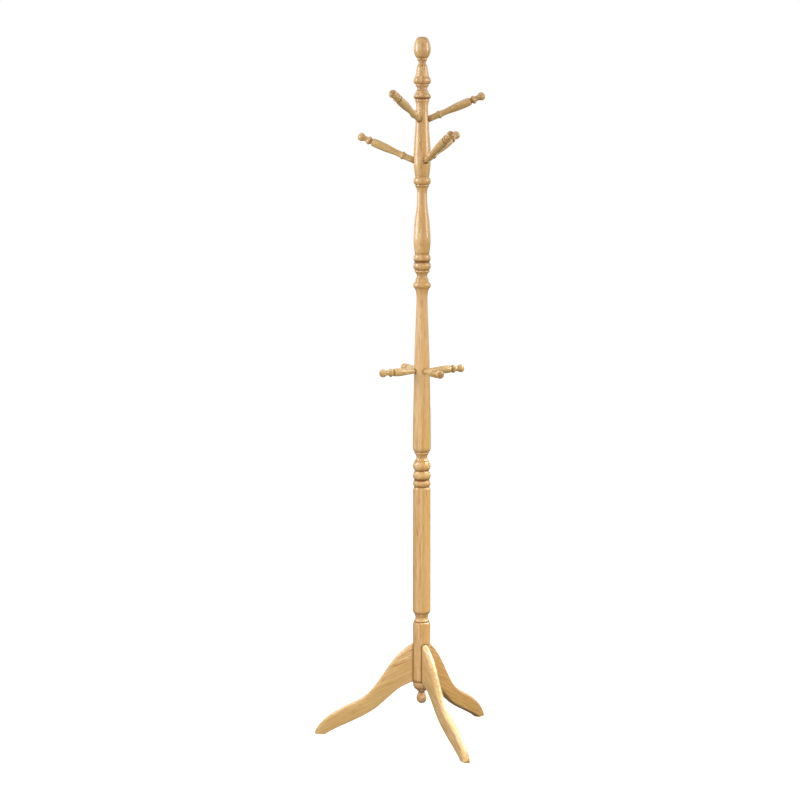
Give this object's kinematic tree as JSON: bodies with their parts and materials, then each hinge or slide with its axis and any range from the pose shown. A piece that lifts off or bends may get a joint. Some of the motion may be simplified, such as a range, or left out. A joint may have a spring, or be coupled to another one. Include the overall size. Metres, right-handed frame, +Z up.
{
  "type": "standing coat rack",
  "caption": "Turned wooden floor-standing coat rack: a slender post with finials, tiers of raised pegs near the top, level pegs half-way up and curved legs splayed round its foot.",
  "frame": {"origin": "on the floor, under the post's axis", "axes": "+Z up along the post; -Y along the front leg; +X to the right seen from the front leg's side"},
  "size_m": [0.4776, 0.4245, 1.75],
  "materials": {
    "post_wood": "clear semi-gloss lacquer over glued light hardwood",
    "finial_wood": "clear semi-gloss lacquer, slightly pinker wood",
    "leg_wood": "clear semi-gloss lacquer over edge-glued board",
    "peg_wood": "clear semi-gloss lacquer",
    "dowel_wood": "bare wood",
    "bolt_steel": "bright zinc plate",
    "insert_brass": "plain brass"
  },
  "bodies": {
    "root": {"lower_pole": "post_wood", "middle_pole": "post_wood", "upper_pole": "post_wood", "top_finial": "post_wood", "base_finial": "finial_wood", "front_leg": "leg_wood", "right_leg": "leg_wood", "left_leg": "leg_wood", "top_peg_1": "peg_wood", "top_peg_2": "peg_wood", "top_peg_3": "peg_wood", "upper_peg_1": "peg_wood", "upper_peg_2": "peg_wood", "upper_peg_3": "peg_wood", "short_peg_1": "peg_wood", "short_peg_2": "peg_wood", "short_peg_3": "peg_wood", "short_peg_4": "peg_wood", "top_finial_dowel": "dowel_wood", "lower_joint_bolt": "bolt_steel", "upper_joint_bolt": "bolt_steel", "base_finial_bolt": "bolt_steel", "lower_joint_insert": "insert_brass", "upper_joint_insert": "insert_brass", "base_finial_insert": "insert_brass"}
  },
  "joints": []
}
